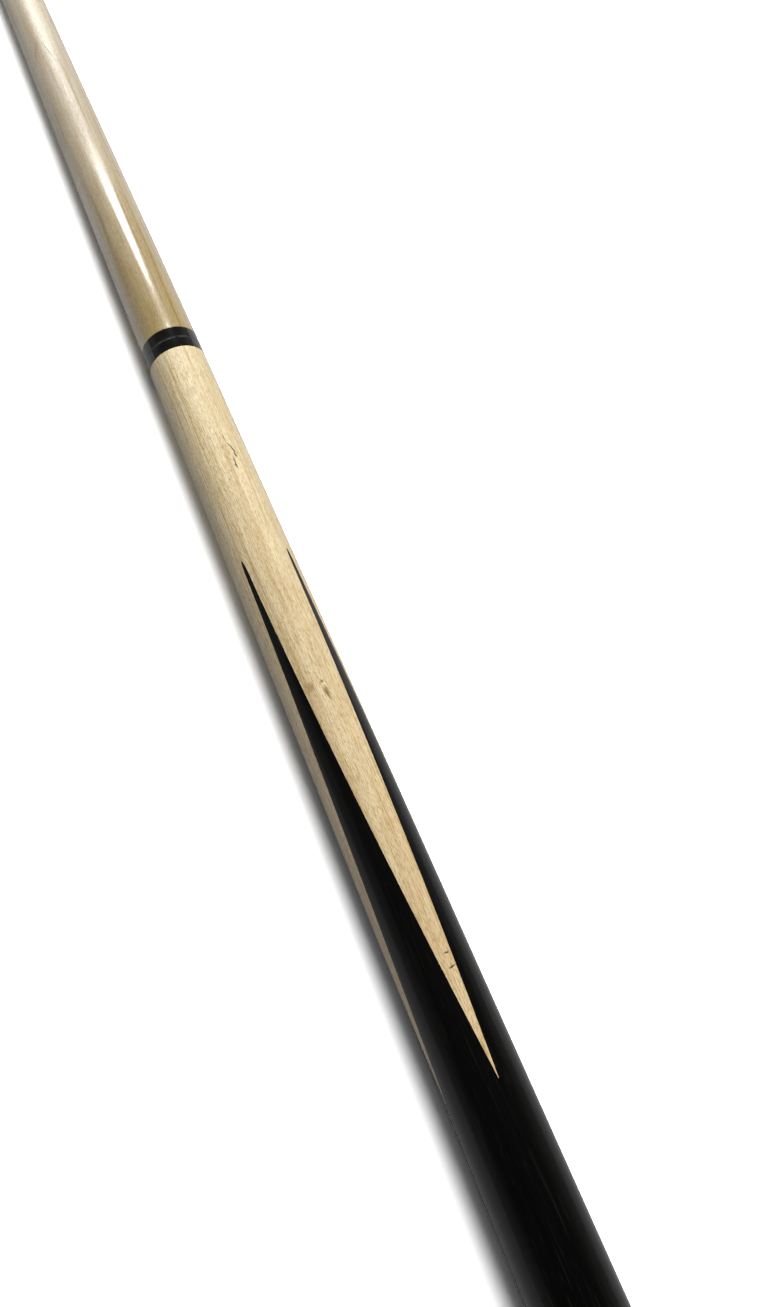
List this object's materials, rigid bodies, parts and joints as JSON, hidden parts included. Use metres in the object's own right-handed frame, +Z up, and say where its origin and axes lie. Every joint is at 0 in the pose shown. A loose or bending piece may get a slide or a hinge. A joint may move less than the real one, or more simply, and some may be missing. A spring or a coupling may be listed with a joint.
{
  "type": "pool cue",
  "caption": "Straight tapered two-piece pool cue: maple shaft with leather tip and ferrule, black joint collars, maple forearm spliced in points into a black butt with a rubber bumper.",
  "frame": {"origin": "centre of the rubber bumper's flat end face", "axes": "+X along the cue's axis from the bumper to the tip, +Z up as the cue lies"},
  "size_m": [1.4732, 0.0312, 0.0312],
  "materials": {
    "tip_leather": "pressed layered leather, chalked",
    "pad_fibre": "black vulcanised fibre",
    "ferrule_resin": "ivory-white turned resin",
    "shaft_maple": "hard maple under clear lacquer",
    "collar_resin": "black turned and polished resin",
    "insert_brass": "turned brass",
    "stainless_pin": "rolled stainless thread",
    "forearm_maple": "hard maple under clear lacquer",
    "black_hardwood": "black hardwood under clear gloss lacquer",
    "cap_resin": "black turned and polished resin",
    "bolt_steel": "black-oxide steel",
    "bumper_rubber": "moulded black rubber",
    "plated_steel": "zinc-plated steel"
  },
  "bodies": {
    "butt": {"forearm": "forearm_maple", "handle": "black_hardwood", "butt_collar": "collar_resin", "joint_pin": "stainless_pin", "butt_cap": "cap_resin", "weight_bolt": "bolt_steel", "bumper": "bumper_rubber", "bumper_stud": "plated_steel"},
    "insert": {"shaft_insert": "insert_brass"},
    "shaft": {"shaft": "shaft_maple", "shaft_collar": "collar_resin", "ferrule": "ferrule_resin", "tip_pad": "pad_fibre", "tip": "tip_leather"}
  },
  "joints": [
    {"name": "shaft_slide", "type": "slide", "parent": "butt", "child": "insert", "axis": [1, 0, 0], "range_m": [0, 0.0254]},
    {"name": "shaft_turn", "type": "hinge", "parent": "insert", "child": "shaft", "pos_m": [0.7366, 0, 0], "axis": [1, 0, 0], "range_deg": [0, 6480]}
  ],
  "couplings": [
    {"joint": "shaft_turn", "follows": "shaft_slide", "rad_per_m": 4452.7}
  ]
}
